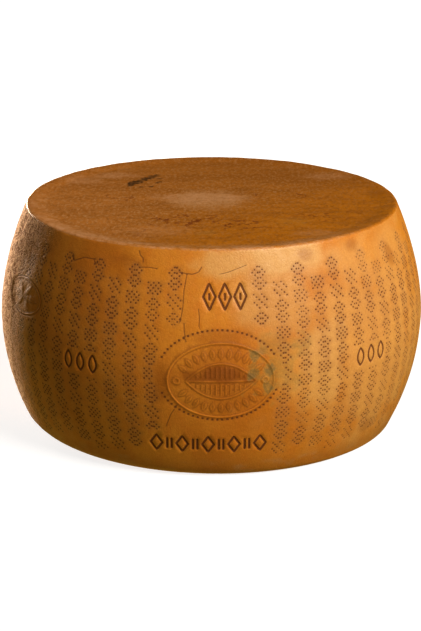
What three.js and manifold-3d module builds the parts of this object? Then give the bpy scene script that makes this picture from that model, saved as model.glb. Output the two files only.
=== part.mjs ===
// A whole, uncut wheel of hard aged cheese, standing on its lower face.
// Millimetres, +Z up. The origin is the middle of the footprint, and the side with the large seal faces -Y.
// Places on the side are given as an angle in degrees from the front, positive to the right, and a height.
import * as THREE from 'three';
import { mergeVertices } from 'three/addons/utils/BufferGeometryUtils.js';
import Module from 'manifold-3d';

const wasm = await Module();
wasm.setup();

// The wheel
const HEIGHT = 236;
const BELLY_RADIUS = 225;
const BELLY_HEIGHT = 118;
const EDGE_INSET = 29.5; // both rims stand this far in from the belly
const UPPER_CURVE = 1.75; // power of the side's curve above the belly
const LOWER_CURVE = 2; // and below it
const RIM_ROUNDING = 1.8;
const FOOT_ROUNDING = 9.5; // the mean over the wheel
const FOOT_ROUNDING_SWING = 6.5; // more at the left, less at the right, where the wheel is crisper
const DISH_DEPTH = 2.5; // the upper face sinks this far inside its rim
const LIP = { width: 22, share: 0.8, rows: 3 }; // most of the sinking is inside this width
const LUMP = 0.7; // how far the side wanders from round

// How finely the wheel is faceted
const AROUND = 84;
const SIDE_ROWS = 13;
const EDGE_ROWS = [0.06, 0.25, 0.58]; // fractions of a rounded edge's height

// The large oval seal: a sunk field inside a raised rim, and in it a fluted lens between bands of leaves
const SEAL = { angle: 2.4, height: 111, halfWidth: 52, halfHeight: 38, line: 2.2, sink: 1 };
const SEAL_RISE = 1.2;
const SEAL_BAND = { leaves: 11, halfWidth: 41.5, halfHeight: 28, ends: 27, leafLength: 10.5, leafWidth: 5 };
const SEAL_LENS = { halfWidth: 34.5, halfHeight: 18, line: 1.4, divider: 63 };
const SEAL_FLUTES = { count: 11, pitch: 4.7, gap: 3.2 };
const SEAL_BOSS = { reach: 43.5, radius: 3.8, line: 1.6 };

// The small oval seal at the left, with a flower whose petals end on an oval too
const SIDE_SEAL = { angle: -60.7, height: 162, halfWidth: 35, halfHeight: 17.8, line: 1.6 };
const SIDE_FLOWER = { petals: 6, heart: 2.4, halfWidth: 29, halfHeight: 14.5, petalWidth: 5 };

// Ornaments of burned lines
const BURN_DEPTH = 1;
const BURN_LINE = 2;
const UPPER_ORNAMENT = { angle: 3.5, height: 193, lozenges: 3, pitch: 15, width: 14, tall: 29, barTall: 7 };
const LOWER_ORNAMENT = { angle: -0.9, height: 41, lozenges: 5, pitch: 25.5, width: 14, tall: 22 };
const LOWER_BARS = { gap: 4.4, tall: 13 };
const LEAF_ORNAMENT = { height: 117.5, leaves: 3, pitch: 15.3, tall: 22, width: 11 };
const LEAF_HOLLOW = { width: 6, stalk: 4 }; // the stalk is what stays solid at each end
const LEAF_ORNAMENT_ANGLES = [-116, -35.3, 45.3, 126];

// The pressing tools are prisms that reach inwards past the curve of the widest seal
const TOOL_START = 175;
const TOOL_LENGTH = 75;
const OVAL_STEPS = 20; // an oval has twice as many sides
const LENS_STEPS = 10; // sides along each arc of the lens
const BOSS_STEPS = 5;
const LEAF_STEPS = 3; // sides along each edge of a leaf

const FULL_TURN = 2 * Math.PI;

/** Radius of the side at a height, for one rounding of the lower edge. */
function sideRadius(height, footRounding) {
  const above = Math.max(height - BELLY_HEIGHT, 0) / (HEIGHT - BELLY_HEIGHT);
  const below = Math.max(BELLY_HEIGHT - height, 0) / BELLY_HEIGHT;
  const inset = EDGE_INSET * (above ** UPPER_CURVE + below ** LOWER_CURVE);
  const round = (rounding, fromEdge) => {
    const gap = Math.max(rounding - Math.max(fromEdge, 0), 0);
    return rounding - Math.sqrt(rounding ** 2 - gap ** 2);
  };
  return BELLY_RADIUS - inset - round(RIM_ROUNDING, HEIGHT - height) - round(footRounding, height);
}

/** Outline of the wheel from the middle of its foot, up the side, to the middle of its dished upper face. */
function wheelOutline(swell) {
  const foot = EDGE_ROWS.map((fraction) => fraction * FOOT_ROUNDING);
  const rim = EDGE_ROWS.map((fraction) => HEIGHT - fraction * RIM_ROUNDING).reverse();
  const span = HEIGHT - RIM_ROUNDING - FOOT_ROUNDING;
  const side = Array.from({ length: SIDE_ROWS + 1 }, (_, row) => FOOT_ROUNDING + (span * row) / SIDE_ROWS);
  const outline = [new THREE.Vector2(0, 0)];
  for (const height of [0, ...foot, ...side, ...rim, HEIGHT]) {
    outline.push(new THREE.Vector2(sideRadius(height, FOOT_ROUNDING) + swell, height));
  }

  const edge = outline.at(-1).x;
  for (let row = 1; row <= LIP.rows; row += 1) {
    const along = row / LIP.rows;
    const sink = (DISH_DEPTH * LIP.share * (1 - Math.cos(Math.PI * along))) / 2;
    outline.push(new THREE.Vector2(edge - LIP.width * along, HEIGHT - sink));
  }
  outline.push(new THREE.Vector2(0, HEIGHT - DISH_DEPTH));
  return outline;
}

/** Moves each point in or out: the wheel is a little out of round, and its foot is rounder at the left. */
function shapeByHand(geometry) {
  const points = geometry.attributes.position;
  for (let i = 0; i < points.count; i += 1) {
    const [x, y, z] = [points.getX(i), points.getY(i), points.getZ(i)];
    const angle = Math.atan2(x, -y);
    const rounding = FOOT_ROUNDING - FOOT_ROUNDING_SWING * Math.sin(angle);
    const lump = (LUMP * (Math.sin(2 * angle + 0.9) + Math.sin(3 * angle + z / 70))) / 2;
    const stretch = (sideRadius(z, rounding) + lump) / sideRadius(z, FOOT_ROUNDING);
    points.setXYZ(i, x * stretch, y * stretch, z);
  }
}

/** A closed geometry as a solid that can be joined and cut, without the flat triangles at a lathe's axis. */
function solid(geometry) {
  const bare = geometry.clone();
  bare.deleteAttribute('normal');
  bare.deleteAttribute('uv');
  const merged = mergeVertices(bare);
  const corners = merged.index.array;
  const triangles = [];
  for (let i = 0; i < corners.length; i += 3) {
    const [a, b, c] = corners.slice(i, i + 3);
    if (a !== b && b !== c && c !== a) triangles.push(a, b, c);
  }
  return new wasm.Manifold(new wasm.Mesh({
    numProp: 3,
    vertProperties: Float32Array.from(merged.attributes.position.array),
    triVerts: Uint32Array.from(triangles),
  }));
}

/** The barrel of the wheel, with its side moved out by a distance. */
function barrel(swell) {
  const geometry = new THREE.LatheGeometry(wheelOutline(swell), AROUND);
  geometry.rotateX(Math.PI / 2);
  shapeByHand(geometry);
  return solid(geometry);
}

/** A shape drawn on the side at a place, as a prism that points at the wheel's axis. */
function toolAt(place, shape, curveSegments = LEAF_STEPS) {
  const prism = new THREE.ExtrudeGeometry(shape, { depth: TOOL_LENGTH, bevelEnabled: false, curveSegments });
  const angle = THREE.MathUtils.degToRad(place.angle);
  const right = new THREE.Vector3(Math.cos(angle), Math.sin(angle), 0);
  const outward = new THREE.Vector3(Math.sin(angle), -Math.cos(angle), 0);
  const placed = new THREE.Matrix4().makeBasis(right, new THREE.Vector3(0, 0, 1), outward);
  placed.setPosition(outward.clone().multiplyScalar(TOOL_START).setZ(place.height));
  prism.applyMatrix4(placed);
  return solid(prism);
}

const union = (solids) => solids.reduce((sum, each) => sum.add(each));

/** An oval area about x on the middle line, or with a line width only its outline. */
function oval(halfWidth, halfHeight, line = 0, x = 0) {
  const shape = new THREE.Shape();
  shape.absellipse(x, 0, halfWidth, halfHeight, 0, FULL_TURN);
  if (line > 0) {
    const hole = new THREE.Path();
    hole.absellipse(x, 0, halfWidth - line, halfHeight - line, 0, FULL_TURN);
    shape.holes.push(hole);
  }
  return shape;
}

/** A closed outline through corners [x, y]. */
function polygon(corners) {
  return new THREE.Shape(corners.map(([x, y]) => new THREE.Vector2(x, y)));
}

/** A standing lozenge drawn with a burned line. */
function lozenge(x, width, tall) {
  const corners = (w, h) => [[x - w, 0], [x, -h], [x + w, 0], [x, h]];
  const slant = BURN_LINE * Math.hypot(width, tall);
  const shape = polygon(corners(width / 2, tall / 2));
  shape.holes.push(polygon(corners(width / 2 - slant / tall, tall / 2 - slant / width)));
  return shape;
}

/** A bar about the point x, y. */
function bar(x, y, width, tall) {
  const [left, right] = [x - width / 2, x + width / 2];
  const [low, high] = [y - tall / 2, y + tall / 2];
  return polygon([[left, low], [right, low], [right, high], [left, high]]);
}

/** A leaf from its stalk at x, y, turned by an angle, pointed at both ends. */
function leaf(x, y, turn, length, width, widestPart = 0.45) {
  const at = (along, aside) => [
    x + along * Math.cos(turn) - aside * Math.sin(turn),
    y + along * Math.sin(turn) + aside * Math.cos(turn),
  ];
  const widest = length * widestPart;
  const shape = new THREE.Shape();
  shape.moveTo(...at(0, 0));
  shape.quadraticCurveTo(...at(widest, -width), ...at(length, 0));
  shape.quadraticCurveTo(...at(widest, width), ...at(0, 0));
  return shape;
}

/** Petals round a heart, from there to an oval. */
function flower({ petals, heart, halfWidth, halfHeight, petalWidth }) {
  return Array.from({ length: petals }, (_, i) => {
    const around = (FULL_TURN * i) / petals;
    const tip = new THREE.Vector2(halfWidth * Math.cos(around), halfHeight * Math.sin(around));
    const stalk = tip.clone().setLength(heart);
    return leaf(stalk.x, stalk.y, tip.angle(), tip.length() - heart, petalWidth);
  });
}

/** A row of places along an ornament, evenly spaced about its middle. */
function row(count, pitch) {
  return Array.from({ length: count }, (_, i) => (i - (count - 1) / 2) * pitch);
}

/** Leaves that stand across a bow over the middle of the large seal, and the same below it. */
function sealBands() {
  const { leaves, halfWidth, halfHeight, ends, leafLength, leafWidth } = SEAL_BAND;
  const start = THREE.MathUtils.degToRad(ends);
  const bow = new THREE.EllipseCurve(0, 0, halfWidth, halfHeight, start, Math.PI - start);
  return Array.from({ length: leaves }, (_, i) => i / (leaves - 1)).flatMap((along) => {
    const middle = bow.getPointAt(along);
    const turn = bow.getTangentAt(along).angle() - Math.PI / 2;
    const x = middle.x - (leafLength / 2) * Math.cos(turn);
    const y = middle.y - (leafLength / 2) * Math.sin(turn);
    return [1, -1].map((side) => leaf(x, side * y, side * turn, leafLength, leafWidth));
  });
}

/** The outline of the lens in the large seal: two arcs that meet in points. */
function sealLens() {
  const { halfWidth, halfHeight, line } = SEAL_LENS;
  const tip = (line * Math.hypot(halfWidth, 2 * halfHeight)) / (4 * halfHeight);
  const lens = (w, h) => leaf(-w, 0, 0, 2 * w, 2 * h, 0.5);
  const shape = lens(halfWidth + tip, halfHeight + line / 2);
  const hollow = lens(halfWidth - tip, halfHeight - line / 2);
  shape.holes.push(new THREE.Path(hollow.getPoints(LENS_STEPS)));
  return shape;
}

/** The line that divides the lens, and the flutes above and below it. */
function sealFlutes() {
  const { halfWidth, halfHeight, line, divider } = SEAL_LENS;
  const { count, pitch, gap } = SEAL_FLUTES;
  const upright = row(count, pitch).flatMap((x) => {
    const top = halfHeight * (1 - (x / halfWidth) ** 2) - gap;
    return [1, -1].map((side) => bar(x, (side * (gap + top)) / 2, line, top - gap));
  });
  return [bar(0, 0, divider, line), ...upright];
}

/** The raised parts of both seals. */
function sealRelief() {
  const half = SEAL.line / 2; // the rim straddles the edge of the sunk field
  const rims = [
    toolAt(SEAL, oval(SEAL.halfWidth + half, SEAL.halfHeight + half, SEAL.line), OVAL_STEPS),
    toolAt(SIDE_SEAL, oval(SIDE_SEAL.halfWidth, SIDE_SEAL.halfHeight, SIDE_SEAL.line), OVAL_STEPS),
    toolAt(SEAL, sealLens(), LENS_STEPS),
  ];
  const { reach, radius, line } = SEAL_BOSS;
  const bosses = [-reach, reach].map((x) => toolAt(SEAL, oval(radius, radius, line, x), BOSS_STEPS));
  const petals = flower(SIDE_FLOWER).map((shape) => toolAt(SIDE_SEAL, shape));
  const filling = [...sealBands(), ...sealFlutes()].map((shape) => toolAt(SEAL, shape));
  return [...rims, ...bosses, ...petals, ...filling];
}

/** Lozenges in a row, each with a short bar inside. */
function upperOrnament() {
  const { lozenges, pitch, width, tall, barTall } = UPPER_ORNAMENT;
  const places = row(lozenges, pitch);
  const frames = places.map((x) => lozenge(x, width, tall));
  const bars = places.map((x) => bar(x, 0, BURN_LINE, barTall));
  return [...frames, ...bars].map((shape) => toolAt(UPPER_ORNAMENT, shape));
}

/** Lozenges in a row, with a pair of bars between each two. */
function lowerOrnament() {
  const { lozenges, pitch, width, tall } = LOWER_ORNAMENT;
  const frames = row(lozenges, pitch).map((x) => lozenge(x, width, tall));
  const pair = row(2, LOWER_BARS.gap);
  const places = row(lozenges - 1, pitch).flatMap((x) => pair.map((dx) => x + dx));
  const bars = places.map((x) => bar(x, 0, BURN_LINE, LOWER_BARS.tall));
  return [...frames, ...bars].map((shape) => toolAt(LOWER_ORNAMENT, shape));
}

/** Upright leaves in a row, drawn with a line, at each of their places round the wheel. */
function leafOrnaments() {
  const { height, leaves, pitch, tall, width } = LEAF_ORNAMENT;
  const { stalk } = LEAF_HOLLOW;
  const upright = Math.PI / 2;
  return LEAF_ORNAMENT_ANGLES.flatMap((angle) => row(leaves, pitch).map((x) => {
    const shape = leaf(x, -tall / 2, upright, tall, width);
    const hollow = leaf(x, -tall / 2 + stalk, upright, tall - 2 * stalk, LEAF_HOLLOW.width);
    shape.holes.push(new THREE.Path(hollow.getPoints(LEAF_STEPS)));
    return toolAt({ angle, height }, shape);
  }));
}

/** The wheel with its seals pressed in and its ornaments burned in. */
function cheeseWheel() {
  const sealField = toolAt(SEAL, oval(SEAL.halfWidth, SEAL.halfHeight), OVAL_STEPS);
  const raised = union(sealRelief());
  const burned = union([...upperOrnament(), ...lowerOrnament(), ...leafOrnaments()]);
  const solidWheel = barrel(0)
    .subtract(sealField.subtract(barrel(-SEAL.sink)))
    .add(raised.intersect(barrel(SEAL_RISE)))
    .subtract(burned.subtract(barrel(-BURN_DEPTH)));

  const { vertProperties, triVerts } = solidWheel.getMesh();
  const geometry = new THREE.BufferGeometry();
  geometry.setAttribute('position', new THREE.BufferAttribute(vertProperties, 3));
  geometry.setIndex(new THREE.BufferAttribute(triVerts, 1));
  geometry.computeBoundingBox();
  const middle = geometry.boundingBox.getCenter(new THREE.Vector3());
  geometry.translate(-middle.x, -middle.y, -geometry.boundingBox.min.z);
  geometry.computeVertexNormals();
  return geometry;
}

const rind = new THREE.MeshStandardMaterial({ color: 0xc98a3e, roughness: 0.5, metalness: 0 });
const wheel = new THREE.Mesh(cheeseWheel(), rind);
wheel.name = 'cheese_wheel';

const part = new THREE.Group();
part.add(wheel);
export default part;
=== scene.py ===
import math

import bmesh
import bpy
import numpy as np
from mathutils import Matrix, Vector
from mathutils.geometry import delaunay_2d_cdt


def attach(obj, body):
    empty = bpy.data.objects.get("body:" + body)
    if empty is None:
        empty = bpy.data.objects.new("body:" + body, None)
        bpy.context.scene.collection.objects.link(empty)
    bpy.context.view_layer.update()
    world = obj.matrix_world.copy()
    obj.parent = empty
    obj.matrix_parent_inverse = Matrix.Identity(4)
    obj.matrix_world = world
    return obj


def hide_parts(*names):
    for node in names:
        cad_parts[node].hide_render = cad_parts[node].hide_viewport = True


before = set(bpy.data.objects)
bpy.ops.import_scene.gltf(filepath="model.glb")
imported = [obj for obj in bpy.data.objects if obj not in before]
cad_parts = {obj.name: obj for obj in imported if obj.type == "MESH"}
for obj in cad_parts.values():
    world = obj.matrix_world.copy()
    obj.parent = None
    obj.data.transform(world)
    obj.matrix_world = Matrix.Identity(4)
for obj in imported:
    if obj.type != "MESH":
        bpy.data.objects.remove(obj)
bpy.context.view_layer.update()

bl_info = {
    "name": "Whole cheese wheel",
    "version": (1, 0, 0),
    "blender": (4, 5, 0),
    "location": "3D View > Sidebar > Cheese",
    "description": "Builds a whole wheel of hard cheese with its marked rind, and a plain stage",
    "category": "Add Mesh",
}

NODE = "cheese_wheel"
PIECE = "wheel_rind"
MM = 0.001
TAU = 2 * math.pi
HASH_AXES = np.array([73856093, 19349663, 83492791])  # large odd numbers that scatter the noise
HASH_SEED = 265443576
HASH_MIX = 1274126177

# The rind is laid out flat before it is wrapped round the wheel. Lengths are in millimetres,
# places on the side are an angle in degrees from the front, positive to the right, and a height.
LAYOUT_RADIUS = 215.0
WRAP = LAYOUT_RADIUS * TAU
SEAM_OVERLAP = 14.0
RING_POINTS = 372  # round the edge of each flat face
OUTLINE_STEPS = {"turn": 13, "side": 160, "lip": 15}  # points of the outline in each stretch
FOOT_ROWS = (0, 0.2, 0.42, 0.68, 1)  # rings round the foot's edge, as parts of its rounding
RIM_ROWS = (-0.6, 0, 0.3, 0.6, 1, 1.4)  # and round the rim, as parts of the rim's rounding
LIP_ROWS = {"start": 3.2, "count": 5}  # and across the lip, from a distance inside the rim
RIDGE_ROWS = (-1.7, -0.8, 0, 0.8, 1.7)  # rows of points beside a raised line, in half-widths of it
CREASE_ROWS = (-2, 0, 2)  # and beside a crease
LEAF_ROWS = (-0.55, 0.35)  # rows inside and outside a leaf's edge
SEAL_GRAIN = 1.75  # distance between the other points of a seal
CROWN_GRAIN = 1.15  # distance between those of the upper face, in grains of the plain rind
CROWN_FINER = (((-6, 4), 58, 2.6), ((-74, 78), 30, 1.7))  # closer rounds on it: middle, radius and distance
FOOT_GRAIN = 2.2  # and of the underside
ROW_ROOM = 0.5  # how far other points keep from a ring
LAST_ROW_ROOM = 1.4  # and from the two that the flat faces join
UPPER_CURVE = 1.75  # power of the side's curve above the belly
LOWER_CURVE = 2  # and below it
LUMP = 0.35  # how far each of two slow waves moves the side in or out
LIP_SHARE = 0.8  # part of the dish that sinks inside the lip
FOOT_SWING = 0.68  # how much rounder the foot is at the left than the mean, and less at the right
DRAWING_REACH = 0.7  # radians: no drawing reaches further round the wheel from its place

# Drawings on the side. A rise is above the field of a seal, and the dots keep out of a margin or a room.
SEAL = {"angle": 2.4, "height": 111, "half_width": 52, "half_height": 38, "sink": 0.3}
SEAL_RIM = {"half_line": 0.748, "rise": 0.42}
SEAL_BAND = {"leaves": 11, "half_width": 41.5, "half_height": 28, "ends": 27, "length": 10.5, "width": 5}
SEAL_LENS = {"half_width": 34.5, "half_height": 18, "half_line": 0.7, "divider": 63, "rise": 0.34}
SEAL_FLUTES = {"count": 11, "pitch": 4.7, "gap": 3.2, "half_line": 0.63, "rise": 0.32}
SEAL_BOSS = {"reach": 43.5, "radius": 3, "half_line": 0.8, "rise": 0.36}
LEAF_SKEW = 0.1  # a leaf is widest a little nearer to its stalk than to its tip
LEAF_RISE = 0.36
RIB_CUT = 0.24  # depth of the rib in a leaf
DOTTED_OVAL = {"angle": 1.85, "height": 116, "half_width": 60, "half_height": 46, "pitch": 4.8, "margin": 5}
OVAL_GAPS = ((2, 20), (180, 19))  # the dotted oval is open at both ends: direction and half-width in degrees
SIDE_SEAL = {"angle": -60.7, "height": 162, "half_width": 35, "half_height": 17.8, "sink": 0.2, "margin": 4}
SIDE_EDGE = {"line": 1.6, "half_line": 0.64, "rise": 0.22, "cut": 0.4}
SIDE_FLOWER = {"petals": 6, "heart": 2.4, "half_width": 29, "half_height": 14.5, "width": 5}
UPPER_ORNAMENT = {
    "angle": 3.5, "height": 193, "lozenges": 3, "pitch": 15, "width": 14, "tall": 29, "bar": 7, "dark": 0.7,
    "room": (26, 18),
}
LOWER_ORNAMENT = {
    "angle": -0.9, "height": 41, "lozenges": 5, "pitch": 25.5, "width": 14, "tall": 22, "dark": 0.95,
    "room": (61, 14),
}
LOWER_BARS = {"gap": 4.4, "tall": 13}
LEAF_ORNAMENT = {
    "height": 117.5, "leaves": 3, "pitch": 15.3, "tall": 22, "width": 11, "dark": 0.6, "room": (24.5, 14),
}
LEAF_ORNAMENTS = [{**LEAF_ORNAMENT, "angle": angle} for angle in (-116, -35.3, 45.3, 126)]
LEAF_HOLLOW = {"width": 6, "stalk": 4}
BURN_LINE = 2.0
BURN_ROWS = (0.7, 1.35)  # where the floor of a burned line ends, and where its edge does
BURN_SWELLING = 0.1  # how far the rind stands up beside it

# Dots of the pricked columns, six across, one motif below the other with a blank row between two
LOZENGES = ("..xx..", ".x..x.", "x.xx.x", ".x..x.", "..xx..", ".x..x.", "x.xx.x", ".x..x.", "..xx..")
CHEQUER = ("x.x.x.", ".x.x.x", "x.x.x.", ".x.x.x", "x.x.x.")
SLANTS = ("x..x..", ".x..x.", "..x..x") * 2
MOTIFS = (LOZENGES, CHEQUER, LOZENGES, SLANTS)
DOTS_ACROSS = 6
DOT_SKIRT = 0.72  # radius of the points round a dot, in dot diameters
HALO = 2.2  # how far the scorched skin reaches round the dots
COLUMN_PHASE = 1.6  # degrees: the middle of the blank strip at the front
BLANK_STRIPS = ((1.6, 8.0), (181.6, 8.0))  # middle and half-width in degrees, at the front and at the back
SHORT_COLUMN = {"half_angle": 13.0, "end": 168.0}
COLUMN_TOPS = (219.0, 204.0)
COLUMN_ENDS = (31.0, 22.0)
COLUMN_LEAN = 0.5  # how far a column may lean aside for each 100 up, about a height of 120

# Creases in the rind: half-width and depth, and points as angle and height
CREASES = (
    (0.55, 0.35, ((-6.6, 213), (-7.2, 198), (-7.3, 183), (-7.9, 169))),
    (0.5, 0.45, ((-3.3, 182), (-3.0, 174), (-3.1, 165))),
    (0.6, 0.5, ((-6.9, 168), (-6.8, 160), (-6.3, 150))),
    (0.5, 0.3, ((-20.4, 216.5), (-17.6, 217.6), (-15.0, 217))),
    (0.7, 0.6, ((-20.6, 232), (-20.2, 228), (-19.2, 225), (-19.2, 222))),
    (0.6, 0.5, ((-8.6, 215), (-6.8, 214), (-5.0, 213.4), (-3.5, 215.6), (-2.7, 220.5))),
    (0.35, 0.35, ((2.4, 213.6), (4.6, 215.2), (6.8, 218), (9.6, 221.4))),
    (0.6, 0.45, ((-42.2, 219.5), (-41.6, 212), (-38, 217.8), (-34.6, 218.2))),
    (0.5, 0.4, ((-34.6, 218.2), (-33.6, 214.6), (-32.6, 216))),
    (0.5, 0.35, ((-8.6, 85), (-10.4, 74), (-11.6, 62))),
    (0.5, 0.4, ((101, 205), (104, 196), (103, 184))),
    (0.6, 0.5, ((152, 88), (149, 80), (151, 66))),
    (0.5, 0.4, ((-150, 190), (-146, 196), (-141, 195))),
)

# Soft patches on the side: angle, height, reach across, reach up and strength
BLUSHES = (
    (2.2, 118, 38, 12, 1.0), (2.2, 111, 66, 48, 0.3), (2.0, 155, 34, 9, 0.35), (-12.5, 108, 12, 30, 0.5),
    (9.5, 114, 12, 8, 0.9), (-4.5, 116, 16, 9, 0.8), (43.7, 226, 13, 9, 0.5), (27.5, 226, 12, 8, 0.45),
    (60, 205, 12, 22, 0.5), (49, 33, 16, 10, 0.5), (-24, 222, 26, 7, 0.35), (96, 190, 30, 24, 0.6),
    (140, 70, 36, 30, 0.6), (-140, 160, 30, 40, 0.5),
)
STAINS = (
    (10.6, 136, 9, 10, 0.72), (13.0, 141, 8, 7, 0.6), (14.4, 120, 7, 9, 0.75), (10.5, 118, 7, 9, 0.68),
    (14.3, 104, 8, 10, 0.75), (16.5, 118, 34, 48, 0.5), (23, 142, 15, 16, 0.55), (15.5, 150, 20, 14, 0.45),
    (-168, 120, 16, 22, 0.5),
)
# Paler skin near the rim, at the right and high at the back left: painted light and painted highlight where
# the lamps fall
PAINTED_LIGHT = (
    (20, 226, 66, 32, 1.0), (4, 222, 34, 18, 0.8), (60, 205, 60, 50, 0.5), (48, 130, 150, 160, 0.64),
    (30, 120, 45, 70, 0.85), (16, 190, 60, 50, 0.6), (-150, 220, 50, 20, 0.6),
)

# The coarse, cracked skin covers the left and the back: degrees over which it starts, eases and ends. Its
# paler, pinker colour is partly its own and partly painted sheen of the edge lamp.
COARSE_START = (-54, -76)
COARSE_EASE = (-105, -140)
COARSE_END = (-240, -205)
COARSE_EASING = 0.2  # how much less coarse it is past where it eases
COARSE_PATCH = {"angle": 160, "height": 60, "reach": (120, 90, 90)}
COARSE_EVERYWHERE = 0.08

# Soft patches on the upper face: x, y, reach across, reach in depth and strength
VEINS = (
    (-30, -78, 48, 34, 1.0), (24, -98, 50, 28, 1.0), (-84, 12, 46, 20, 0.7), (76, 30, 50, 22, 0.7),
    (-70, -130, 40, 24, 0.5), (120, -60, 50, 30, 0.5),
)
CROWN_STAINS = ((-4, -128, 18, 18, 0.3), (80, -84, 24, 26, 0.28), (-120, -60, 24, 12, 0.2))
# Patches of painted sheen on the upper face
CROWN_SHEEN = (
    (-108, 114, 34, 20, 0.6), (-140, 88, 30, 22, 0.45), (128, 108, 36, 20, 0.5), (-60, -120, 50, 26, 0.35),
    (110, -130, 40, 16, 0.4), (-10, 14, 62, 30, 0.62),
)
HEART = {"middle": (-6, 6), "reach": (60, 56, 30)}  # the rough round in the middle of the upper face
LIP_WORN_AT = -20  # degrees: where the rim of the upper face is worn palest
# Strokes of ink on the upper face: both ends, half-width and strength
INK_STROKES = (
    (-90, 64, -89, 82, 1.9, 1.0), (-86, 66, -85, 88, 2.0, 0.95), (-81.5, 74, -80.5, 92, 2.0, 1.0),
    (-77, 82, -76, 98, 2.0, 0.9), (-72.5, 90, -71.5, 104, 2.0, 1.0), (-68, 97, -67, 110, 2.0, 1.0),
    (-63.5, 103, -62, 114, 1.9, 1.0), (-89, 78, -61, 112, 2.2, 0.9), (-77, 60, -74, 61, 1.7, 0.9),
    (-67, 63, -64, 64, 1.7, 0.9), (-60, 80, -56, 84, 1.7, 0.8), (-59, 96, -55, 98, 1.6, 0.7),
)

# Finish of the rind
OILED_ROUGHNESS = (0.38, 0.52)
BURNED_ROUGHNESS = 0.6  # what burned lines and coarse skin add to it
DUSTY_SHEEN = 0.42
CRACK_SPACING = 0.0034
PORES = {"Strength": 0.14, "Distance": 0.0005}
CRACKS = {"Strength": 0.9, "Distance": 0.0009}

# The stage, in metres
LIGHT_TARGET = Vector((0, 0, 0.118))
SUN_DISTANCE = 3
FLOOR_RADIUS = 14


def mm(value):
    """A length from the panel, in millimetres."""
    return value / MM


def smooth(low, high, value):
    """0 below low, 1 above high, and a soft step between."""
    t = np.clip((value - low) / (high - low), 0, 1)
    return t * t * (3 - 2 * t)


def noise(points, size, seed):
    """Smooth random values from -1 to 1 over points, in lumps of about a size."""
    p = points / size
    cell = np.floor(p).astype(np.int64)
    part = p - cell
    part = part * part * (3 - 2 * part)
    total = np.zeros(len(points))
    for corner in np.ndindex(2, 2, 2):
        c = (cell + np.array(corner)) * HASH_AXES
        n = c[:, 0] ^ c[:, 1] ^ c[:, 2] ^ (seed * HASH_SEED)
        n = (n ^ (n >> 13)) * HASH_MIX
        n = (n ^ (n >> 16)) & 0xFFFF
        weight = np.prod(np.where(np.array(corner, bool), part, 1 - part), axis=1)
        total += weight * (n / 32767.5 - 1)
    return total


def octaves(points, size, seed, count=3):
    """Noise with finer and fainter noise on top of it."""
    total = sum(noise(points, size / 2 ** i, seed + i) / 2 ** i for i in range(count))
    return total / (2 - 2.0 ** (1 - count))


class Outline:
    """The wheel's outline from the edge of its foot to the inside of its lip, by the distance along it."""

    def __init__(self, sizes):
        self.height = mm(sizes.height)
        self.belly = mm(sizes.belly_radius)
        self.inset = mm(sizes.edge_inset)
        self.rim = mm(sizes.rim_rounding)
        self.foot = mm(sizes.foot_rounding)
        self.dish = mm(sizes.dish_depth)
        self.lip = mm(sizes.lip_width)
        turn = np.radians(np.linspace(0, 90, OUTLINE_STEPS["turn"]))
        foot = self.foot * (1 - np.cos(turn))
        rim = self.height - self.rim * (1 - np.sin(turn))
        side = np.linspace(self.foot, self.height - self.rim, OUTLINE_STEPS["side"])
        z = np.concatenate([foot, side[1:-1], rim])
        r = self.radius(z, self.foot)
        along = np.linspace(0, 1, OUTLINE_STEPS["lip"])[1:]
        sink = self.dish * LIP_SHARE * (1 - np.cos(math.pi * along)) / 2
        self.side_end = len(z)
        self.r = np.concatenate([r, r[-1] - self.lip * along])
        self.z = np.concatenate([z, self.height - sink])
        step = np.hypot(np.diff(self.r), np.diff(self.z))
        self.s = np.concatenate([[0], np.cumsum(step)])
        tr, tz = np.gradient(self.r, self.s), np.gradient(self.z, self.s)
        size = np.hypot(tr, tz)
        self.normal_r, self.normal_z = tz / size, -tr / size
        self.face_radius = self.r[-1]
        self.foot_radius = self.r[0]
        self.length = self.s[-1]
        self.rim_s = self.s[self.side_end - 1]

    def radius(self, z, foot):
        """Radius of the side at heights, for one rounding of the foot."""
        middle = self.height / 2
        above = np.maximum(z - middle, 0) / middle
        below = np.maximum(middle - z, 0) / middle
        inset = self.inset * (above ** UPPER_CURVE + below ** LOWER_CURVE)

        def rounded(rounding, from_edge):
            gap = np.maximum(rounding - np.maximum(from_edge, 0), 0)
            return rounding - np.sqrt(np.maximum(rounding ** 2 - gap ** 2, 0))

        return self.belly - inset - rounded(self.rim, self.height - z) - rounded(foot, z)

    def s_at(self, z):
        """Distance along the outline at heights on the side."""
        return np.interp(z, self.z[:self.side_end], self.s[:self.side_end])

    def place(self, angle, r, z):
        """Points of the wheel, which is a little out of round and has a foot that is rounder at the left."""
        foot = self.foot * (1 - FOOT_SWING * np.sin(angle))
        lump = LUMP * (np.sin(2 * angle + 0.9) + np.sin(3 * angle + z / 70))
        r = r * (self.radius(z, foot) + lump) / self.radius(z, self.foot)
        return np.stack([r * np.sin(angle), -r * np.cos(angle), z], axis=1)

    def layout(self, place, x, y):
        """Where points of a drawing at a place on the side lie in the flat layout."""
        z = place["height"] + np.asarray(y, float)
        r = self.radius(z, self.foot)
        angle = math.radians(place["angle"]) + np.arcsin(np.clip(np.asarray(x, float) / r, -1, 1))
        return np.stack([angle * LAYOUT_RADIUS, self.s_at(z)], axis=1)


def drawing_coordinates(place, points, angle):
    """Coordinates of the wheel's points in a drawing at a place, and which of them are near it."""
    middle = math.radians(place["angle"])
    away = (angle - middle + math.pi) % TAU - math.pi
    x = points[:, 0] * math.cos(middle) + points[:, 1] * math.sin(middle)
    return x, points[:, 2] - place["height"], np.abs(away) < DRAWING_REACH


def row(count, pitch):
    """Places along an ornament, evenly spaced about its middle."""
    return [(i - (count - 1) / 2) * pitch for i in range(count)]


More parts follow.
